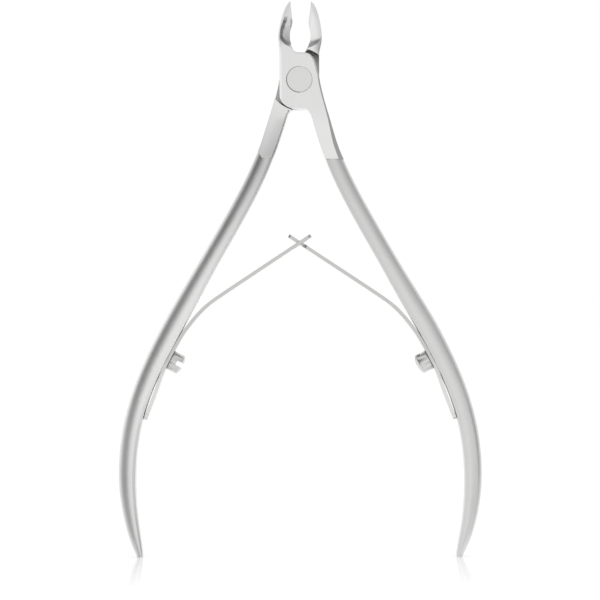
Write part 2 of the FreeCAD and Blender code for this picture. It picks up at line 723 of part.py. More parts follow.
def leaf_slab(half_outline, half_thickness):
    """Slab square to the leaf at the crossing.

    half_outline: (distance along the leaf, half width), mirrored across Y_MID.
    """
    along = Vector(TIP_TANGENT)
    along.normalize()
    normal = Vector(-along.z, 0, along.x)
    crossing = Vector(0, Y_MID, CROSS_Z)
    outline = [(a, -w) for a, w in half_outline] + list(reversed(half_outline))
    points = [crossing + along * a + Vector(0, 1, 0) * w for a, w in outline]
    plan = Part.Face(Part.makePolygon(points + [points[0]]))
    plan.translate(normal * -half_thickness)
    return plan.extrude(normal * (2 * half_thickness))


def spring_leaf(with_window):
    """Right-hand leaf; a window in its end, or a tongue."""
    leaf = strip_solid(SPRING_LEAF_PATH, FLEX_TANGENT, TIP_TANGENT)
    leaf = leaf.cut(cylinder_y(SPRING_T / 2.0 + KNUCKLE_GAP, Y_MID - SPRING_W_BASE,
                               Y_MID + SPRING_W_BASE, *FLEX))
    base_w, tip_w, tongue_w = SPRING_W_BASE / 2.0, SPRING_W_TIP / 2.0, TONGUE_W / 2.0
    outline = [(LEAF_START, base_w), (TAPER_START, base_w), (TAPER_END, tip_w)]
    if with_window:
        outline += [(LEAF_TIP - TIP_BEVEL, tip_w), (LEAF_TIP, tip_w - TIP_BEVEL)]
    else:
        outline += [(-TONGUE_ROOT - SHOULDER_BEVEL, tip_w),
                    (-TONGUE_ROOT, tip_w - SHOULDER_BEVEL),
                    (-TONGUE_ROOT, tongue_w),
                    (LEAF_TIP - TONGUE_BEVEL, tongue_w),
                    (LEAF_TIP, tongue_w - TONGUE_BEVEL)]
    leaf = leaf.common(leaf_slab(outline, 14.0))
    if with_window:
        window = [(-WINDOW_LEN / 2.0, WINDOW_W / 2.0),
                  (WINDOW_LEN / 2.0, WINDOW_W / 2.0)]
        leaf = leaf.cut(leaf_slab(window, 3.0))
    return leaf.removeSplitter()


# ------------------------------------------------------------------- screws
def spring_screw(slot_turn):
    """Right-hand screw, slot turned about its axis from the Y direction."""
    full_height = SCREW_HEAD_H + SCREW_CROWN
    # half section (r, height above the underside of the head)
    profile = [(0, -SCREW_SHANK_L),
               (SCREW_SHANK_R - SCREW_END_BEVEL, -SCREW_SHANK_L),
               (SCREW_SHANK_R, -SCREW_SHANK_L + SCREW_END_BEVEL),
               (SCREW_SHANK_R, 0.0),
               (SCREW_HEAD_R - SCREW_LIP, 0.0),
               (SCREW_HEAD_R, SCREW_LIP),
               (SCREW_HEAD_R, SCREW_HEAD_H)]
    points = in_plane(profile)
    crown_middle = Vector(SCREW_HEAD_R * 0.62, 0, SCREW_HEAD_H + SCREW_CROWN * 0.68)
    top = Vector(0, 0, full_height)
    edges = (lines(*points)
             + [Part.Arc(points[-1], crown_middle, top).toShape()]
             + lines(top, points[0]))
    body = Part.Face(Part.Wire(edges)).revolve(Vector(0, 0, 0), Vector(0, 0, 1), 360)
    slot = Part.makeBox(SLOT_W, SLOT_LEN, SLOT_D + 1,
                        Vector(-SLOT_W / 2.0, -SLOT_LEN / 2.0, full_height - SLOT_D))
    slot.rotate(Vector(0, 0, 0), Vector(0, 0, 1), slot_turn)
    body = body.cut(slot)
    # turn Z onto the screw axis; Y stays where it is
    tilt = math.degrees(math.atan2(SCREW_AXIS.x, SCREW_AXIS.z))
    body.rotate(Vector(0, 0, 0), Vector(0, 1, 0), tilt)
    body.translate(SCREW_SEAT
                   + SCREW_AXIS * (SPRING_SEAT_GAP + SPRING_T + HEAD_SEAT_GAP))
    return body


# -------------------------------------------------------------------- parts
PARTS = {
    "front_lever": build_lever(front=True),
    "back_lever": mirror_x(build_lever(front=False)),
    "pivot_rivet": revolve_y(rivet_profile(0.0, RIVET_EDGE)),
    "left_spring_base": mirror_x(spring_base()),
    "left_spring_leaf": mirror_x(spring_leaf(with_window=True)),
    "right_spring_base": spring_base(),
    "right_spring_leaf": spring_leaf(with_window=False),
    "left_spring_screw": mirror_x(spring_screw(LEFT_SLOT_TURN)),
    "right_spring_screw": spring_screw(RIGHT_SLOT_TURN),
}

os.makedirs("parts", exist_ok=True)
for name, shape in PARTS.items():
    # a lone solid is written without its compound
    if len(shape.Solids) == 1:
        shape = shape.Solids[0]
    shape.exportStep("parts/%s.step" % name)
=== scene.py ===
# Steel pliers: two levers crossed on a rivet at the origin, with a leaf spring
# screwed to the inside of each handle.  The jaws point up (+Z), the handles stand
# on the floor, the front faces the camera (-Y) and +X is to the right.
# Sizes are in millimetres and MM turns them into metres.
import math
from functools import cached_property, reduce

import bmesh
import bpy
import numpy as np
from mathutils import Matrix, Vector


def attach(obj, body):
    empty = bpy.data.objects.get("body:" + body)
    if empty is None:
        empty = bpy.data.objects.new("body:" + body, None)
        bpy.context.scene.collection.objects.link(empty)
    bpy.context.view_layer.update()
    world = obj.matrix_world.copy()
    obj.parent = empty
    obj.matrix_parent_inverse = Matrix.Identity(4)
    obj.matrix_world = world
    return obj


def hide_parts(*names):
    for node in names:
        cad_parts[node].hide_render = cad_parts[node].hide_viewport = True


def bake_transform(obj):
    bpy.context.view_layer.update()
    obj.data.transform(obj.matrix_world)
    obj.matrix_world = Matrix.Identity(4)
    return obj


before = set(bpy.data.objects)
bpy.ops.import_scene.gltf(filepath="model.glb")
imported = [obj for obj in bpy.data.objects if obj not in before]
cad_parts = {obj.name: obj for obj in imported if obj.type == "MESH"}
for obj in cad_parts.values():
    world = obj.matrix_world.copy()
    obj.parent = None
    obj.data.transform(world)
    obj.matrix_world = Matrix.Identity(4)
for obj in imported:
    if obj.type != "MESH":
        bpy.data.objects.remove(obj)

scene = bpy.context.scene
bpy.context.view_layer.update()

MM = 0.001
MID_Y = -2.60             # mid plane of the tool, where the levers rub
FLOOR_Z = -86.99
SEAM_RADIUS = 2.38        # seam round the rivet


# ================================================================= node trees
class Tree:
    """The node tree of a material or world, emptied and built one call per node."""

    def __init__(self, owner):
        owner.use_nodes = True
        self.nodes = owner.node_tree.nodes
        self.links = owner.node_tree.links
        self.nodes.clear()

    def new(self, kind, inputs={}, **settings):
        """Add a node; each input takes a socket to link or a plain value."""
        node = self.nodes.new(kind)
        for key, value in settings.items():
            setattr(node, key, value)
        for key, value in inputs.items():
            socket = node.inputs[key]
            if isinstance(value, bpy.types.NodeSocket):
                self.links.new(value, socket)
            elif socket.type == "RGBA":
                socket.default_value = (*value, 1.0)
            else:
                socket.default_value = value
        return node

    def calc(self, operation, *values, clamp=False):
        return self.new("ShaderNodeMath", dict(enumerate(values)),
                        operation=operation, use_clamp=clamp).outputs[0]

    def product(self, *values):
        return reduce(lambda first, second: self.calc("MULTIPLY", first, second), values)

    def vector(self, operation, inputs):
        return self.new("ShaderNodeVectorMath", inputs, operation=operation).outputs

    def split(self, vector):
        return tuple(self.new("ShaderNodeSeparateXYZ", {0: vector}).outputs)

    def mix(self, amount, first, second, blend="MIX"):
        return self.new("ShaderNodeMix", {0: amount, 6: first, 7: second},
                        data_type="RGBA", blend_type=blend).outputs[2]

    def mix_float(self, amount, first, second):
        return self.new("ShaderNodeMix", {0: amount, 2: first, 3: second}).outputs[0]

    def remap(self, value, start, end, low=0.0, high=1.0):
        """low at start, high at end, held beyond them."""
        return self.new("ShaderNodeMapRange",
                        {0: value, 1: start, 2: end, 3: low, 4: high}, clamp=True).outputs[0]

    def remap_mm(self, value, start, end, low=0.0, high=1.0):
        return self.remap(value, start * MM, end * MM, low, high)

    def noise(self, vector, scale, detail=3.0):
        return self.new("ShaderNodeTexNoise",
                        {"Scale": scale, "Detail": detail, "Roughness": 0.55,
                         "Vector": vector}).outputs["Fac"]

    def stretch(self, vector, scale):
        return self.new("ShaderNodeMapping", {"Scale": scale, "Vector": vector}).outputs["Vector"]

    def ramp(self, value, stops, interpolation="LINEAR"):
        """Grey ramp through stops of (position 0 to 1, brightness)."""
        node = self.new("ShaderNodeValToRGB", {0: value})
        node.color_ramp.interpolation = interpolation
        elements = node.color_ramp.elements
        while len(elements) > 1:
            elements.remove(elements[-1])
        for i, (position, grey) in enumerate(stops):
            element = elements[0] if i == 0 else elements.new(position)
            element.position = position
            element.color = (grey, grey, grey, 1)
        return node.outputs[0]


def scaled(colour, factor):
    return [min(1, c * factor) for c in colour]


# ====================================================================== steel
# dark colour of the painted crevice shade, also of the rub streaks in the lap joint
SHADE_AND_GRIME = (0.10, 0.10, 0.098)
BLOTCH_SWING = 0.05       # range of roughness from the blotches


class Steel(Tree):
    """A steel laid on in layers; finish_off() joins them to the shader.

    A line on the metal is (x, z, nx, nz): a point and the direction it opens in.
    """

    def __init__(self, name, **finish):
        self.material = bpy.data.materials.new(name)
        super().__init__(self.material)
        self.coord = self.new("ShaderNodeTexCoord").outputs["Object"]
        self.tint = finish["tint"]
        self.colour, self.rough, self.height = self.finish(**finish)

    @cached_property
    def axes(self):
        """Object x, y and z, split on first use."""
        return self.split(self.coord)

    def finish(self, tint, rough, grain, grain_scale, streak):
        """Colour, roughness and relief from blotches, fine grain and streaks."""
        blotch = self.noise(self.coord, scale=170.0, detail=4.0)
        fine = self.noise(self.coord, scale=grain_scale, detail=2.0)
        along = self.noise(self.stretch(self.coord, streak), scale=1.0)
        colour = self.mix(self.remap(blotch, start=0.3, end=0.7),
                          scaled(tint, 0.975), scaled(tint, 1.02))
        colour = self.mix(self.remap(along, start=0.35, end=0.65, high=0.30),
                          colour, scaled(tint, 0.95))
        rough = self.calc("ADD", rough - BLOTCH_SWING / 2,
                          self.product(self.remap(blotch, start=0.25, end=0.75), BLOTCH_SWING))
        streaked = self.remap(along, start=0.3, end=0.7, low=-1, high=1)
        rough = self.calc("ADD", rough, self.product(streaked, 0.015))
        height = self.calc("ADD", self.product(fine, grain), self.product(along, grain * 0.8))
        return colour, rough, height

    def shading_grey_along(self, rows):
        """Painted shading grey that changes with height, from rows of (z, grey) going up."""
        low, high = rows[0][0], rows[-1][0]
        stops = [((z - low) / (high - low), grey) for z, grey in rows]
        return self.ramp(self.remap_mm(self.axes[2], low, high), stops)

    def beyond(self, line):
        """Distance past a line."""
        x, _, z = self.axes
        line_x, line_z, normal_x, normal_z = line
        return self.calc("ADD",
                         self.product(self.calc("SUBTRACT", x, line_x * MM), normal_x),
                         self.product(self.calc("SUBTRACT", z, line_z * MM), normal_z))

    def darken(self, mask, grey):
        self.colour = self.mix(mask, self.colour, (grey, grey, grey), "MULTIPLY")

    # painted shading along z, multiplied over the colour
    def paint_shading_along(self, rows):
        self.colour = self.mix(1.0, self.colour, self.shading_grey_along(rows), "MULTIPLY")

    def paint_shade_across(self, line, width, low, high, grey):
        """Painted shade that fades in over width past a line, between two heights."""
        end_fade = 1.2
        z = self.axes[2]
        heights = self.product(self.remap_mm(z, low, low + end_fade),
                               self.remap_mm(z, high, high - end_fade))
        self.darken(self.product(self.remap_mm(self.beyond(line), 0.0, width), heights), grey)

    def add_second(self, finish, rows, lines):
        """Another finish past any of the lines, with its own painted shading along z."""
        colour, rough, height = self.finish(**finish)
        colour = self.mix(1.0, colour, self.shading_grey_along(rows), "MULTIPLY")
        distance = self.beyond(lines[0])
        for line in lines[1:]:
            distance = self.calc("MAXIMUM", distance, self.beyond(line))
        # a slightly wavy border
        ripple = self.calc("SUBTRACT", self.noise(self.coord, scale=900.0), 0.5)
        distance = self.calc("ADD", distance, self.product(ripple, 0.12 * MM))
        mask = self.remap_mm(distance, start=-0.03, end=0.03)
        self.colour = self.mix(mask, self.colour, colour)
        self.rough = self.mix_float(mask, self.rough, rough)
        self.height = self.mix_float(mask, self.height, height)

    def edge_wear_and_sheen(self, bevel, wear_and_sheen=0.5):
        """Round the edges by bevel and make them brighter and smoother: worn edges, partly a
        painted highlight.
        """
        surface = self.new("ShaderNodeNewGeometry").outputs["Normal"]
        self.normal = self.new("ShaderNodeBevel", {"Radius": bevel * MM},
                               samples=6).outputs["Normal"]
        facing = self.vector("DOT_PRODUCT", {0: surface, 1: self.normal})["Value"]
        edge = self.remap(facing, start=0.999, end=0.90)
        self.colour = self.mix(self.product(edge, wear_and_sheen * 0.6), self.colour,
                               scaled(self.tint, 1.10))
        self.rough = self.calc("SUBTRACT", self.rough, self.product(edge, wear_and_sheen * 0.08),
                               clamp=True)

    def seam_shade(self, crevice_shade, radius):
        """Painted shade in the seam round the rivet, on the front: most at the bottom, little at
        the top.
        """
        x, y, z = self.axes
        distance = self.calc("SQRT", self.calc("ADD", self.product(x, x), self.product(z, z)))
        # cosine of the angle from straight down, turned a little to the left
        below = self.calc("DIVIDE", self.calc("ADD", self.product(x, -0.35),
                                              self.product(z, -0.94)), distance)
        ring = self.calc("ABSOLUTE", self.calc("SUBTRACT", distance, radius * MM))
        front = self.remap_mm(y, start=-3.4, end=-3.2, low=1.0, high=0.0)
        wide = self.product(self.remap_mm(ring, start=0.10, end=0.20, low=1.0, high=0.0), front)
        fine = self.product(self.remap_mm(ring, start=0.06, end=0.11, low=1.0, high=0.0), front)
        # less painted shade at the top of the seam; a thin painted shade line at the bottom
        less_seam_shade = self.product(wide, self.remap(below, start=-0.9, end=-0.2, low=0.9, high=0.0))
        crevice_shade = self.product(crevice_shade, self.calc("SUBTRACT", 1.0, less_seam_shade))
        line = self.product(fine, self.remap(below, start=0.0, end=0.8, high=0.30))
        return self.calc("ADD", crevice_shade, line, clamp=True)

    def add_crevice_shade(self, crevice=0.55, seam_radius=None):
        """Painted shade in crevices found by ambient occlusion, which are also made rougher;
        crevice is the amount in the deepest.
        """
        shade = self.new("ShaderNodeAmbientOcclusion", {"Distance": 0.5 * MM}, samples=6)
        crevice_shade = self.remap(shade.outputs["AO"], start=0.15, end=0.92, low=crevice, high=0.0)
        if seam_radius is not None:
            crevice_shade = self.seam_shade(crevice_shade, seam_radius)
        self.colour = self.mix(crevice_shade, self.colour, SHADE_AND_GRIME)
        self.rough = self.calc("ADD", self.rough, self.product(crevice_shade, 0.15), clamp=True)

    def shade_lap_faces(self, rows):
        """Painted shade on the faces inside the lap joint, a grey along z, with rub streaks."""
        offset = self.calc("ABSOLUTE", self.calc("SUBTRACT", self.axes[1], MID_Y * MM))
        near = self.remap_mm(offset, start=0.03, end=0.08, low=1.0, high=0.0)
        normal = self.new("ShaderNodeNewGeometry").outputs["True Normal"]
        local = self.new("ShaderNodeVectorTransform", {0: normal}, vector_type="NORMAL",
                         convert_from="WORLD", convert_to="OBJECT").outputs[0]
        upright = self.calc("ABSOLUTE", self.split(local)[1])
        inside = self.product(near, self.remap(upright, start=0.90, end=0.97))
        rub = self.noise(self.stretch(self.coord, (2500.0, 400.0, 400.0)), scale=1.0)
        shaded_rub = self.mix(self.remap(rub, start=0.3, end=0.7, high=0.25),
                          self.shading_grey_along(rows), SHADE_AND_GRIME)
        self.colour = self.mix(inside, self.colour, shaded_rub)
        self.rough = self.calc("ADD", self.rough, self.product(inside, 0.12), clamp=True)

    def shade_hollow(self, side, wall, run_out, open_z, full_z):
        """Paint shade in the jaw's hollow, which faces side * X.

        wall and run_out are the painted shade greys of its steep wall and of its lower,
        upward-facing end, which fades in from open_z down to full_z.
        Returns the masks of the hollow and of the run-out.
        """
        x, _, z = self.axes
        foot = dict(start=5.3, end=5.7)     # the hollow begins at this height
        self.facing = self.split(self.new("ShaderNodeNewGeometry").outputs["Normal"])
        inward = self.product(self.facing[0], side)
        above = self.remap_mm(z, **foot)
        hollow = self.product(self.remap(inward, start=0.10, end=0.20), above)
        steep = self.product(
            self.remap(inward, start=0.50, end=0.72), above,
            self.remap_mm(z, start=12.0, end=11.2),
            self.remap_mm(self.calc("ABSOLUTE", x), start=1.8, end=2.1))
        upward = self.product(
            self.remap(self.facing[2], start=0.15, end=0.48),
            self.remap_mm(z, start=open_z, end=full_z),
            self.remap_mm(z, **foot))
        self.darken(steep, wall)
        self.darken(upward, run_out)
        return hollow, upward

    def flatten(self, mask, keep):
        """Lean the normal to the front (-Y) in mask, keeping this share of its own."""
        share = self.calc("SUBTRACT", 1.0, self.product(mask, 1.0 - keep))
        own = self.vector("SCALE", {0: self.normal, 3: share})[0]
        front = self.new("ShaderNodeCombineXYZ", {1: self.calc("SUBTRACT", share, 1.0)})
        both = self.vector("ADD", {0: own, 1: front.outputs[0]})[0]
        self.normal = self.vector("NORMALIZE", {0: both})[0]

    def finish_off(self):
        bump = self.new("ShaderNodeBump", {"Strength": 1.0, "Distance": 0.01 * MM,
                                           "Height": self.height, "Normal": self.normal})
        shader = self.new("ShaderNodeBsdfPrincipled", {
            "Metallic": 1.0, "Normal": bump.outputs["Normal"],
            "Base Color": self.colour, "Roughness": self.rough})
        self.new("ShaderNodeOutputMaterial", {"Surface": shader.outputs["BSDF"]})
        return self.material


# Finishes: grain is the relief, grain_scale its fineness and streak the noise
# scale along x, y and z.
GROUND = dict(rough=0.24, grain=0.20, grain_scale=9000.0, streak=(9000.0, 9000.0, 500.0))
SATIN = dict(rough=0.31, grain=0.30, grain_scale=7000.0, streak=(7000.0, 7000.0, 900.0))
LEVER_BEVEL = 0.07
# painted shade on the rubbing faces of the lap joint: (z, grey)
LAP_SHADE_GREY = [(-5.6, 0.20), (-4.3, 0.24), (-3.6, 0.55), (-1.0, 0.60), (0.6, 0.44),
            (2.6, 0.36), (3.9, 0.24), (4.9, 0.11), (5.6, 0.06)]


def front_lever_steel():
    """Ground head over a satin right handle."""
    steel = Steel("front_lever_steel", tint=(0.845, 0.845, 0.84), **GROUND)
    # painted shading along z: the head a little darker than the shank
    steel.paint_shading_along([(-14.5, 1.0), (-9.0, 1.0), (-5.0, 0.955), (14.7, 0.955)])
    # satin handle past the line, its rows a painted shading along z
    steel.add_second(
        dict(SATIN, tint=(0.77, 0.77, 0.765)),
        rows=[(-87.0, 1.0), (-40.0, 0.98), (-24.0, 0.93), (-14.0, 0.88)],
        lines=[(5.04, -14.45, 0.0, -1.0)])
    steel.edge_wear_and_sheen(LEVER_BEVEL)
    steel.add_crevice_shade(seam_radius=SEAM_RADIUS)
    steel.shade_lap_faces(LAP_SHADE_GREY)
    hollow, _ = steel.shade_hollow(side=1.0, wall=0.50, run_out=0.45, open_z=9.8, full_z=8.0)
    z = steel.axes[2]
    facing_x, facing_y, _ = steel.facing

    # crowned edge of the head, turned to the left: a painted highlight, its normal leant to the
    # front
    edge = steel.product(steel.remap_mm(z, start=-6.5, end=-6.0),
                         steel.remap(facing_x, start=-0.01, end=-0.06),
                         steel.remap(facing_y, start=-0.3, end=-0.6))
    steel.colour = steel.mix(edge, steel.colour, (0.97, 0.97, 0.965))
    steel.flatten(edge, keep=0.1)

    # upper end of the hollow
    steel.flatten(steel.product(hollow, steel.remap_mm(z, start=11.1, end=12.0)), keep=0.25)

    # left side of the handle
    handle = steel.product(steel.remap_mm(z, start=-14.3, end=-14.6),
                           steel.remap(facing_x, start=-0.04, end=-0.14),
                           steel.remap(facing_y, start=-0.1, end=-0.3))
    steel.flatten(handle, keep=0.12)

    # bevel down the outer (right) side of the shank: a painted shade line, not flattened
    rim_shade = steel.product(steel.remap_mm(z, start=0.8, end=0.2),
                        steel.remap_mm(z, start=-14.45, end=-14.40),
                        steel.remap(facing_x, start=0.20, end=0.40),
                        steel.remap(facing_x, start=0.97, end=0.90))
    steel.colour = steel.mix(rim_shade, steel.colour, (0.58, 0.58, 0.575))
    steel.flatten(rim_shade, keep=1.0)
    return steel.finish_off()


def back_lever_steel():
    """Ground head over a satin left handle, whose border has a slanting part."""
    steel = Steel("back_lever_steel", tint=(0.83, 0.83, 0.825), **GROUND)
    # painted shading along z: the shank darker going down
    steel.paint_shading_along([(-14.5, 0.72), (-10.0, 0.84), (-5.5, 0.97), (-4.0, 1.0), (0.0, 1.0)])
    # painted shade on the inner side of the shank, then on the right side of the head
    steel.paint_shade_across((-6.1, -11.1, 0.938, -0.346), width=2.6, low=-14.8, high=-6.5, grey=0.78)
    steel.paint_shade_across((2.5, 5.0, 1.0, 0.0), width=0.9, low=4.2, high=7.8, grey=0.60)
    slant = math.hypot(1.18, 0.66)
    # satin handle past the lines, its rows a painted shading along z
    steel.add_second(
        dict(SATIN, tint=(0.88, 0.88, 0.875)),
        rows=[(-87.0, 0.84), (-82.0, 0.90), (-66.0, 0.95), (-58.0, 1.0), (-40.0, 0.99),
              (-31.0, 0.91), (-22.0, 0.79), (-17.0, 0.71), (-13.0, 0.70)],
        lines=[(-4.90, -14.26, 0.0, -1.0), (-7.54, -13.08, -1.18 / slant, -0.66 / slant)])
    steel.edge_wear_and_sheen(LEVER_BEVEL)
    steel.add_crevice_shade()
    steel.shade_lap_faces(LAP_SHADE_GREY)
    hollow, run_out = steel.shade_hollow(side=-1.0, wall=0.90, run_out=0.50,
                                         open_z=8.0, full_z=7.3)
    # painted light in the hollow above its run-out
    hollow_light = steel.product(hollow, steel.calc("SUBTRACT", 1.0, run_out))
    steel.colour = steel.mix(hollow_light, steel.colour, (0.94, 0.94, 0.935))
    steel.flatten(hollow, keep=0.12)
    return steel.finish_off()


def rivet_steel():
    steel = Steel("rivet_steel", tint=(0.76, 0.76, 0.755), rough=0.25, grain=0.2,
                  grain_scale=9000.0, streak=(9000.0, 9000.0, 700.0))
    steel.edge_wear_and_sheen(bevel=0.04)
    steel.add_crevice_shade(seam_radius=SEAM_RADIUS)
    return steel.finish_off()


def spring_steel():
    steel = Steel("spring_steel", tint=(0.80, 0.795, 0.781), rough=0.22, grain=0.10,
                  grain_scale=9000.0, streak=(600.0, 9000.0, 600.0))
    # painted shading along z: the tail lighter than the leaf
    steel.paint_shading_along([(-62.2, 0.99), (-55.0, 0.97), (-50.5, 0.77), (-28.0, 0.762)])
    steel.edge_wear_and_sheen(bevel=0.05, wear_and_sheen=0.25)
    steel.add_crevice_shade(crevice=0.3)
    return steel.finish_off()


def screw_steel():
    steel = Steel("screw_steel", tint=(0.69, 0.69, 0.68), rough=0.15, grain=0.12,
                  grain_scale=9000.0, streak=(3000.0, 3000.0, 3000.0))
    steel.edge_wear_and_sheen(bevel=0.06)
    steel.add_crevice_shade(crevice=0.8)
    return steel.finish_off()


LEVER_STEELS = {"front_lever": front_lever_steel(), "back_lever": back_lever_steel(),
                "pivot_rivet": rivet_steel()}
SPRING_STEEL = spring_steel()
SCREW_STEEL = screw_steel()

for piece, material in LEVER_STEELS.items():
    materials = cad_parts[piece].data.materials
    materials.clear()
    materials.append(material)


# =============================================================== mesh helpers
def add_object(name, mesh):
    ob = bpy.data.objects.new(name, mesh)
    scene.collection.objects.link(ob)
    return ob


def to_mesh(bm, name):
    mesh = bpy.data.meshes.new(name)
    bm.to_mesh(mesh)
    bm.free()
    return mesh


def smooth_below(bm, degrees):
    """Smooth shading, sharp where two faces meet at this angle or more."""
    for face in bm.faces:
        face.smooth = True
    for edge in bm.edges:
        if len(edge.link_faces) == 2:
            edge.smooth = edge.calc_face_angle(0) < math.radians(degrees)


def quarter(steps):
    """(sine, cosine) of the steps from 0 to 90 degrees."""
    angles = [math.pi / 2 * i / steps for i in range(steps + 1)]
    return [(math.sin(angle), math.cos(angle)) for angle in angles]


# ==================================================================== springs
THICKNESS = 0.60
BASE_WIDTH, TIP_WIDTH = 4.00, 3.20
FLEX = (19.00, -43.17)    # the base ends and the moving leaf begins
CROSS_Z = -29.67          # where the two springs cross, at x = 0
# Centre line of the right spring, (x, z) from tail to tip
BASE_PATH = [(28.249, -61.887), (27.029, -58.687), (25.889, -55.587),
             (24.738, -52.442), (23.915, -50.842), (23.092, -49.242),
             (22.079, -47.437), (20.948, -45.650), (20.369, -44.888), FLEX]
LEAF_PATH = [FLEX, (18.05, -42.140), (17.20, -41.320), (16.20, -40.500),
             (14.33, -39.180), (12.15, -37.720), (7.75, -34.800),
             (3.33, -31.870), (0.0, CROSS_Z), (-2.03, -28.340)]
SCREW_POINT = BASE_PATH[4]
# Tangents (x, z) of the centre line
TAIL_TANGENT = (-0.350, 0.937)
FLEX_TANGENT = (-0.668, 0.744)
TIP_TANGENT = (-0.838, 0.546)
FLEX_REACH = 3.6          # length either side of FLEX to the ends of the bending zone

TAIL_RADIUS = 1.2
HOLE_RADIUS = 1.05
TAPER = (20.0, 5.0)       # start and end of the taper, before the crossing

# Window end of the left spring
WINDOW_HALF_WIDTH, WINDOW_HALF_LENGTH, WINDOW_CORNER = 0.95, 1.45, 0.22
WINDOW_TIP_RADIUS = 0.7
# Tongue end of the right spring
TONGUE_ROOT, TONGUE_HALF_WIDTH = 1.0, 0.75
SHOULDER_RADIUS, TONGUE_CORNER = 0.5, 0.4


def spline(points, start_tangent, end_tangent, steps):
    """Clamped cubic spline by chord length: steps + 1 points and tangents."""
    knots = np.array(points, float)
    chord = np.concatenate([[0], np.cumsum(np.linalg.norm(np.diff(knots, axis=0), axis=1))])
    count = len(knots)
    gaps = np.diff(chord)
    matrix = np.zeros((count, count))
    right = np.zeros((count, 2))
    matrix[0, 0] = matrix[-1, -1] = 1.0
    right[0], right[-1] = start_tangent, end_tangent
    for i in range(1, count - 1):
        matrix[i, i - 1] = 1 / gaps[i - 1]
        matrix[i, i] = 2 * (1 / gaps[i - 1] + 1 / gaps[i])
        matrix[i, i + 1] = 1 / gaps[i]
        right[i] = 3 * ((knots[i] - knots[i - 1]) / gaps[i - 1] ** 2
                        + (knots[i + 1] - knots[i]) / gaps[i] ** 2)
    slopes = np.linalg.solve(matrix, right)
    places, tangents = [], []
    for along in np.linspace(0, chord[-1], steps + 1):
        i = min(max(np.searchsorted(chord, along) - 1, 0), count - 2)
        gap = gaps[i]
        u = (along - chord[i]) / gap
        places.append((2 * u**3 - 3 * u**2 + 1) * knots[i]
                      + (u**3 - 2 * u**2 + u) * gap * slopes[i]
                      + (-2 * u**3 + 3 * u**2) * knots[i + 1]
                      + (u**3 - u**2) * gap * slopes[i + 1])
        tangents.append(((6 * u**2 - 6 * u) * knots[i]
                         + (-6 * u**2 + 6 * u) * knots[i + 1]) / gap
                        + (3 * u**2 - 4 * u + 1) * slopes[i]
                        + (3 * u**2 - 2 * u) * slopes[i + 1])
    return np.array(places), np.array(tangents)


base_places, base_tangents = spline(BASE_PATH, TAIL_TANGENT, FLEX_TANGENT, steps=400)
leaf_places, leaf_tangents = spline(LEAF_PATH, FLEX_TANGENT, TIP_TANGENT, steps=500)
PATH = np.vstack([base_places, leaf_places[1:]])
TANGENTS = np.vstack([base_tangents, leaf_tangents[1:]])
TANGENTS /= np.linalg.norm(TANGENTS, axis=1)[:, None]
ARC = np.concatenate([[0], np.cumsum(np.linalg.norm(np.diff(PATH, axis=0), axis=1))])


def arc_at(point):
    """Length along the path at its nearest place to a point."""
    return float(ARC[np.argmin(np.linalg.norm(PATH - np.array(point), axis=1))])


ARC_END = ARC[-1]
ARC_CROSS = arc_at((0.0, CROSS_Z))
ARC_SCREW = arc_at(SCREW_POINT)
ARC_FLEX = arc_at(FLEX)


def on_path(along, across, offset, sign):
    """Point at a length along, a place across in y and an offset off the centre line."""
    x, z = (np.interp(along, ARC, PATH[:, i]) for i in (0, 1))
    tangent_x, tangent_z = (np.interp(along, ARC, TANGENTS[:, i]) for i in (0, 1))
    return ((x - tangent_z * offset) * sign * MM, (MID_Y + across) * MM,
            (z + tangent_x * offset) * MM)


def half_width(along):
    start, end = (ARC_CROSS - before for before in TAPER)
    share = min(1.0, max(0.0, (along - start) / (end - start)))
    return (BASE_WIDTH * (1 - share) + TIP_WIDTH * share) / 2.0


def stations(start, stop, step, far_step=0.0, far_from=math.inf):
    """Lengths from start to stop, with a wider step beyond far_from."""
    while start < stop:
        yield start
        start += step if start < far_from else far_step


# The outline of a spring is rows of (length along, outer half width, half width
# of the opening in the middle), the last 0 where the strip is solid.
def body_rows(stop):
    """Rounded tail, screw hole and tapering strip up to stop."""
    radius = TAIL_RADIUS
    rows = [(radius - radius * cosine, BASE_WIDTH / 2 - radius + radius * sine, 0.0)
            for sine, cosine in quarter(8)]
    rows += [(along, half_width(along), 0.0)
             for along in stations(1.6, ARC_SCREW - HOLE_RADIUS - 0.05, 0.45)]
    for i in range(25):
        angle = math.pi * i / 24.0
        rows.append((ARC_SCREW - HOLE_RADIUS * math.cos(angle), half_width(ARC_SCREW),
                     HOLE_RADIUS * math.sin(angle) if 0 < i < 24 else 0.0))
    rows += [(along, half_width(along), 0.0)
             for along in stations(ARC_SCREW + HOLE_RADIUS + 0.4, stop, step=0.35,
                                   far_step=0.6, far_from=ARC_FLEX + 6)]
    return rows


def window_rows():
    """Round-cornered window at the crossing, then a round-cornered tip."""
    outer = TIP_WIDTH / 2
    length, corner = WINDOW_HALF_LENGTH, WINDOW_CORNER
    straight = WINDOW_HALF_WIDTH - corner
    rows = [(ARC_CROSS - length - 0.12, outer, 0.0)]
    rows += [(ARC_CROSS - length + corner - corner * cosine, outer, straight + corner * sine)
             for sine, cosine in quarter(5)]
    rows += [(ARC_CROSS + along, outer, WINDOW_HALF_WIDTH)
             for along in (-0.9, -0.5, 0.0, 0.5, 0.9)]
    rows += [(ARC_CROSS + length - corner + corner * cosine, outer, straight + corner * sine)
             for sine, cosine in reversed(quarter(5))]
    rows.append((ARC_CROSS + length + 0.02, outer, 0.0))
    radius = WINDOW_TIP_RADIUS
    rows += [(ARC_END - radius + radius * sine, outer - radius + radius * cosine, 0.0)
             for sine, cosine in quarter(7)]
    return rows


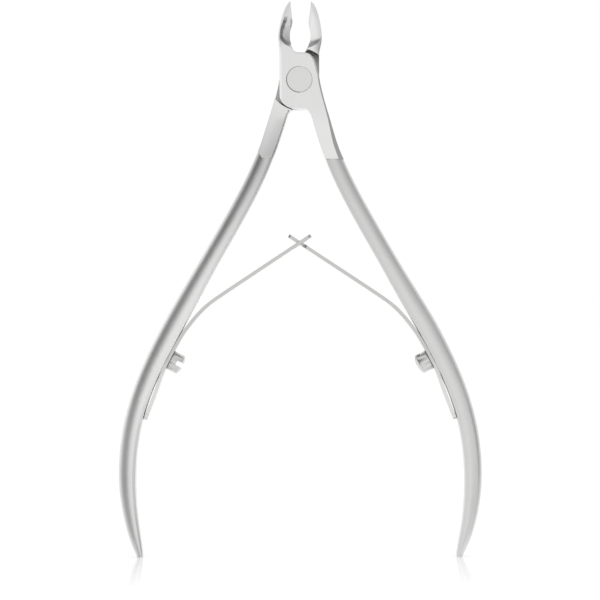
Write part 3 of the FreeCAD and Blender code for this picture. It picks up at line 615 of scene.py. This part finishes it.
def tongue_rows():
    """Rounded shoulders, then a narrow tongue with round corners."""
    outer, root, radius = TIP_WIDTH / 2, ARC_CROSS - TONGUE_ROOT, SHOULDER_RADIUS
    tongue, corner = TONGUE_HALF_WIDTH, TONGUE_CORNER
    rows = [(root - radius - 0.2, outer, 0.0)]
    rows += [(root - radius + radius * sine, outer - radius + radius * cosine, 0.0)
             for sine, cosine in quarter(5)]
    rows += [(root + 0.005, tongue + 0.06, 0.0), (root + 0.08, tongue, 0.0)]
    rows += [(along, tongue, 0.0) for along in stations(root + 0.4, ARC_END - 0.5, 0.4)]
    rows += [(ARC_END - corner + corner * sine, tongue - corner + corner * cosine, 0.0)
             for sine, cosine in quarter(5)]
    return rows


def spring(name, sign, rows):
    """One bent strip; sign -1 mirrors it to the left."""
    bm = bmesh.new()
    rings = []  # (four verts across on each side of the strip, has an opening)
    for along, outer, gap in rows:
        layers = []
        for offset in (-THICKNESS / 2, THICKNESS / 2):
            places = (-outer, -gap, gap, outer) if gap > 0 else (-outer, 0.0, outer)
            verts = [bm.verts.new(on_path(along, place, offset, sign)) for place in places]
            if gap <= 0:
                verts.insert(2, verts[1])
            layers.append(verts)
        rings.append((layers, gap > 0))

    for (near, near_open), (far, far_open) in zip(rings, rings[1:]):
        for k in (0, 1):
            for i in (0, 2):
                bm.faces.new((near[k][i], near[k][i + 1], far[k][i + 1], far[k][i]))
        walls = (0, 3, 1, 2) if near_open or far_open else (0, 3)
        for i in walls:
            bm.faces.new((near[0][i], far[0][i], far[1][i], near[1][i]))
    for ring, _ in (rings[0], rings[-1]):
        for i in (0, 2):
            bm.faces.new((ring[0][i], ring[0][i + 1], ring[1][i + 1], ring[1][i]))
    bmesh.ops.remove_doubles(bm, verts=bm.verts, dist=1e-7)
    bmesh.ops.recalc_face_normals(bm, faces=bm.faces)
    smooth_below(bm, degrees=40)
    ob = add_object(name, to_mesh(bm, name))
    ob.data.materials.append(SPRING_STEEL)
    return ob


def flex_points(sign):
    """Ends of the bending zone, on the tangent at FLEX."""
    middle = np.array(FLEX)
    reach = np.array(FLEX_TANGENT) / np.linalg.norm(FLEX_TANGENT) * FLEX_REACH
    return [(sign * x * MM, MID_Y * MM, z * MM) for x, z in (middle - reach, middle + reach)]


left_spring = spring("left_leaf_spring", -1, body_rows(ARC_CROSS - 2.1) + window_rows())
right_spring = spring("right_leaf_spring", 1, body_rows(ARC_CROSS - 1.9) + tongue_rows())

for ob, side, sign, lever in ((left_spring, "left", -1, "back_lever"),
                              (right_spring, "right", 1, "front_lever")):
    start, end = flex_points(sign)
    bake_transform(ob)
    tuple(start)
    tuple(end)
    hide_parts(side + "_spring_base", side + "_spring_leaf")


# ===================================================================== screws
HEAD_RADIUS, HEAD_HEIGHT, CROWN = 1.82, 2.05, 0.50
SHANK_RADIUS, SHANK_LENGTH, SHANK_CHAMFER = 0.95, 2.30, 0.2
HEAD_CORNER = 0.12        # round under the head
SCREW_SIDES = 96
SLOT_WIDTH, SLOT_DEPTH = 0.87, 1.40
SLOT_LENGTH, SLOT_OVERSHOOT = 8, 1.0  # the cutter runs out past the head
SEAT = (24.221, -50.684)              # (x, z) of the right screw's seat
SCREW_AXIS = (-0.889, -0.457)         # (x, z), from the seat to the head
SEAT_GAP, HEAD_GAP = 0.045, 0.02      # clearance under and over the spring


def screw_profile():
    """(radius, height) from the shank's end up to the crown's centre."""
    profile = [(0.0, -SHANK_LENGTH), (SHANK_RADIUS - SHANK_CHAMFER, -SHANK_LENGTH),
               (SHANK_RADIUS, -SHANK_LENGTH + SHANK_CHAMFER), (SHANK_RADIUS, 0.0)]
    profile += [(HEAD_RADIUS - HEAD_CORNER + HEAD_CORNER * sine,
                 HEAD_CORNER - HEAD_CORNER * cosine) for sine, cosine in quarter(4)]
    profile += [(HEAD_RADIUS, HEAD_HEIGHT * 0.5), (HEAD_RADIUS, HEAD_HEIGHT - 0.14),
                (HEAD_RADIUS - 0.03, HEAD_HEIGHT - 0.04)]
    # the crown is an arc CROWN high over the whole head
    radius = (HEAD_RADIUS * HEAD_RADIUS + CROWN * CROWN) / (2 * CROWN)
    half_angle = math.asin(HEAD_RADIUS / radius)
    for i in range(13):
        angle = half_angle * 0.955 * (1 - i / 12.0)
        profile.append((radius * math.sin(angle),
                        HEAD_HEIGHT + CROWN - radius + radius * math.cos(angle)))
    return profile


def revolve(name, profile):
    """Turn a profile about local Z; both of its ends lie on the axis."""
    bm = bmesh.new()
    rings = []
    for radius, height in profile:
        if radius < 1e-9:
            rings.append([bm.verts.new((0, 0, height * MM))])
            continue
        angles = [2 * math.pi * k / SCREW_SIDES for k in range(SCREW_SIDES)]
        rings.append([bm.verts.new((radius * math.cos(angle) * MM,
                                    radius * math.sin(angle) * MM, height * MM))
                      for angle in angles])
    for low, high in zip(rings, rings[1:]):
        for k in range(SCREW_SIDES):
            after = (k + 1) % SCREW_SIDES
            if len(low) == 1:
                bm.faces.new((low[0], high[after], high[k]))
            elif len(high) == 1:
                bm.faces.new((low[k], low[after], high[0]))
            else:
                bm.faces.new((low[k], low[after], high[after], high[k]))
    bmesh.ops.recalc_face_normals(bm, faces=bm.faces)
    return to_mesh(bm, name)


def slot_cutter(name):
    """Block along local Y, from the slot's floor to above the crown."""
    bm = bmesh.new()
    bmesh.ops.create_cube(bm, size=1.0)
    height = SLOT_DEPTH + SLOT_OVERSHOOT
    middle = HEAD_HEIGHT + CROWN - SLOT_DEPTH + 0.5 * height
    for vert in bm.verts:
        vert.co = Vector((vert.co.x * SLOT_WIDTH * MM, vert.co.y * SLOT_LENGTH * MM,
                          middle * MM + vert.co.z * height * MM))
    return add_object(name, to_mesh(bm, name))


def screw(side, sign, turn, body):
    """Slotted cheese-head screw; turn is the slot's angle in degrees."""
    name = side + "_slotted_spring_screw"
    ob = add_object(name, revolve(name, screw_profile()))
    cutter = slot_cutter(name + "_cut")
    slot = ob.modifiers.new("slot", "BOOLEAN")
    slot.operation = "DIFFERENCE"
    slot.solver = "EXACT"
    slot.object = cutter
    bevel = ob.modifiers.new("edges", "BEVEL")
    bevel.width = 0.05 * MM
    bevel.segments = 2
    bevel.limit_method = "ANGLE"
    bevel.angle_limit = math.radians(50)
    bevel.harden_normals = False
    bpy.context.view_layer.update()
    depsgraph = bpy.context.evaluated_depsgraph_get()
    mesh = bpy.data.meshes.new_from_object(ob.evaluated_get(depsgraph), depsgraph=depsgraph)
    mesh.name = name
    ob.modifiers.clear()
    ob.data = mesh
    bpy.data.objects.remove(cutter)

    # turn the slot, aim local Z along the screw axis, move to the seat
    axis = Vector((SCREW_AXIS[0], 0, SCREW_AXIS[1])).normalized()
    under_head = (Vector((SEAT[0], MID_Y, SEAT[1]))
                  + axis * (SEAT_GAP + THICKNESS + HEAD_GAP))
    mesh.transform(Matrix.Translation(under_head * MM)
                   @ (Matrix.Rotation(math.atan2(axis.x, axis.z), 4, "Y")
                      @ Matrix.Rotation(math.radians(turn), 4, "Z")))
    if sign < 0:
        mesh.transform(Matrix.Scale(-1, 4, (1, 0, 0)))
        mesh.flip_normals()
    bm = bmesh.new()
    bm.from_mesh(mesh)
    smooth_below(bm, degrees=32)
    bm.to_mesh(mesh)
    bm.free()
    mesh.materials.clear()
    mesh.materials.append(SCREW_STEEL)
    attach(ob, body)
    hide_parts(side + "_spring_screw")


screw("left", sign=-1, turn=4.0, body="back_lever")
screw("right", sign=1, turn=62.0, body="front_lever")


# ====================================================================== floor
FLOOR_HALF = 3.0          # metres


def floor_material():
    """Glowing white, shaded at the contacts and glossy under the handles."""
    material = bpy.data.materials.new("studio_floor")
    tree = Tree(material)
    coord = tree.new("ShaderNodeTexCoord").outputs["Object"]
    grain = tree.noise(coord, scale=120.0, detail=2.0)
    gloss = tree.new("ShaderNodeBsdfGlossy", {"Color": (1, 1, 1), "Roughness": 0.06})
    tree.links.new(tree.remap(grain, start=0.3, end=0.7, low=0.05, high=0.09),
                   gloss.inputs["Roughness"])
    contact = tree.new("ShaderNodeAmbientOcclusion", {"Distance": 0.0025}, samples=8)
    shade = tree.remap(contact.outputs["AO"], start=0.2, end=1.0, low=0.80)
    grey = tree.new("ShaderNodeCombineColor", {0: shade, 1: shade, 2: shade}).outputs[0]
    white = tree.new("ShaderNodeEmission", {"Strength": 1.03, "Color": grey})
    # gloss only close in front of the tool, in a strip round each handle's end
    x, y, _ = tree.split(coord)
    near = tree.product(tree.remap(y, start=-0.052, end=-0.006, high=0.38),
                        tree.remap(y, start=0.000, end=0.012, low=1.0, high=0.0))
    handle_x = 0.029
    aside = tree.calc("ABSOLUTE", tree.calc("SUBTRACT", tree.calc("ABSOLUTE", x), handle_x))
    near = tree.product(near, tree.remap(aside, start=0.003, end=0.008, low=1.0, high=0.0))
    mixed = tree.new("ShaderNodeMixShader",
                     {0: near, 1: white.outputs[0], 2: gloss.outputs[0]})
    # only the camera sees the floor: the steel mirrors the room all round
    camera_ray = tree.new("ShaderNodeLightPath").outputs["Is Camera Ray"]
    clear = tree.new("ShaderNodeBsdfTransparent")
    seen = tree.new("ShaderNodeMixShader",
                    {0: camera_ray, 1: clear.outputs[0], 2: mixed.outputs[0]})
    tree.new("ShaderNodeOutputMaterial", {"Surface": seen.outputs[0]})
    return material


floor_mesh = bpy.data.meshes.new("floor")
corners = [(-1, -1), (1, -1), (1, 1), (-1, 1)]
floor_mesh.from_pydata([(x * FLOOR_HALF, y * FLOOR_HALF, FLOOR_Z * MM) for x, y in corners],
                       [], [(0, 1, 2, 3)])
floor = add_object("floor", floor_mesh)
floor_mesh.materials.append(floor_material())

# ======================================================================= room
# Brightness of the room by bearing, (degrees, brightness): 0 is towards the
# camera, + to the right.  Each band lies at its own height.
LEVEL = [(-180, 1.0), (-130, 1.0), (-108, 0.80), (-88, 0.54), (-66, 0.40),
         (-46, 0.36), (-26, 0.50), (-12, 0.86), (0, 1.0), (20, 0.90),
         (45, 0.84), (72, 0.74), (83, 0.50), (92, 0.18), (102, 0.56),
         (124, 0.84), (150, 1.0), (180, 1.0)]
HIGH = [(-180, 1.0), (-144, 1.0), (-126, 0.92), (-108, 0.62), (-88, 0.33),
        (-68, 0.20), (-46, 0.22), (-26, 0.34), (-10, 0.64), (0, 0.86),
        (28, 0.68), (58, 0.58), (80, 0.55), (91, 0.38), (102, 0.60),
        (124, 0.80), (145, 1.0), (180, 1.0)]
LOW = [(-180, 1.0), (-130, 1.0), (-108, 0.78), (-88, 0.52), (-68, 0.37),
       (-48, 0.34), (-30, 0.46), (-14, 0.76), (0, 0.94), (22, 0.72),
       (46, 0.68), (74, 0.74), (88, 0.64), (96, 0.62), (110, 0.82),
       (140, 1.0), (180, 1.0)]
DEEP = [(-180, 1.0), (-100, 0.95), (-60, 0.86), (-30, 0.88), (0, 0.90),
        (40, 0.94), (80, 1.0), (180, 1.0)]
CEILING = [(-180, 0.95), (-90, 0.84), (0, 0.80), (90, 0.80), (150, 0.90), (180, 0.95)]
# Bands laid over LEVEL: (direction's z where it starts, where it is full, band)
BANDS = [(0.10, 0.30, HIGH), (-0.06, -0.16, LOW), (-0.37, -0.47, DEEP),
         (0.56, 0.70, CEILING)]


def build_room():
    world = bpy.data.worlds.new("studio")
    scene.world = world
    tree = Tree(world)
    x, y, z = tree.split(tree.new("ShaderNodeTexCoord").outputs["Generated"])
    half_turns = tree.calc("DIVIDE", tree.calc("ARCTAN2", x, tree.product(y, -1.0)), math.pi)
    bearing = tree.calc("ADD", tree.product(half_turns, 0.5), 0.5)

    def band(stops):
        return tree.ramp(bearing, [(degrees / 360.0 + 0.5, grey) for degrees, grey in stops],
                         "EASE")

    colour = band(LEVEL)
    for start, full, stops in BANDS:
        colour = tree.mix(tree.remap(z, start, full), colour, band(stops))
    # the camera itself sees plain white
    camera_ray = tree.new("ShaderNodeLightPath").outputs["Is Camera Ray"]
    colour = tree.mix(camera_ray, colour, (1.0, 1.0, 1.0))
    background = tree.new("ShaderNodeBackground", {"Color": colour, "Strength": 1.0})
    tree.new("ShaderNodeOutputWorld", {"Surface": background.outputs[0]})


build_room()

# ===================================================================== camera
LENS, SENSOR = 135.0, 36.0
VIEW_WIDTH = 109.64       # seen at the mid plane
VIEW_X, VIEW_Z = 0.02, -40.10
CAMERA_ROLL = 0.0022      # radians

camera_data = bpy.data.cameras.new("camera")
camera_data.lens = LENS
camera_data.sensor_width = SENSOR
camera_data.clip_start = 0.01
camera_data.clip_end = 20.0
camera = add_object("camera", camera_data)
camera_distance = VIEW_WIDTH * LENS / SENSOR
camera.location = (VIEW_X * MM, (MID_Y - camera_distance) * MM, VIEW_Z * MM)
camera.rotation_euler = (math.radians(90), CAMERA_ROLL, 0)
scene.camera = camera

scene.view_settings.view_transform = "Standard"
scene.view_settings.look = "None"
scene.view_settings.exposure = 0.0
scene.view_settings.gamma = 1.0
scene.cycles.max_bounces = 10
scene.cycles.glossy_bounces = 8
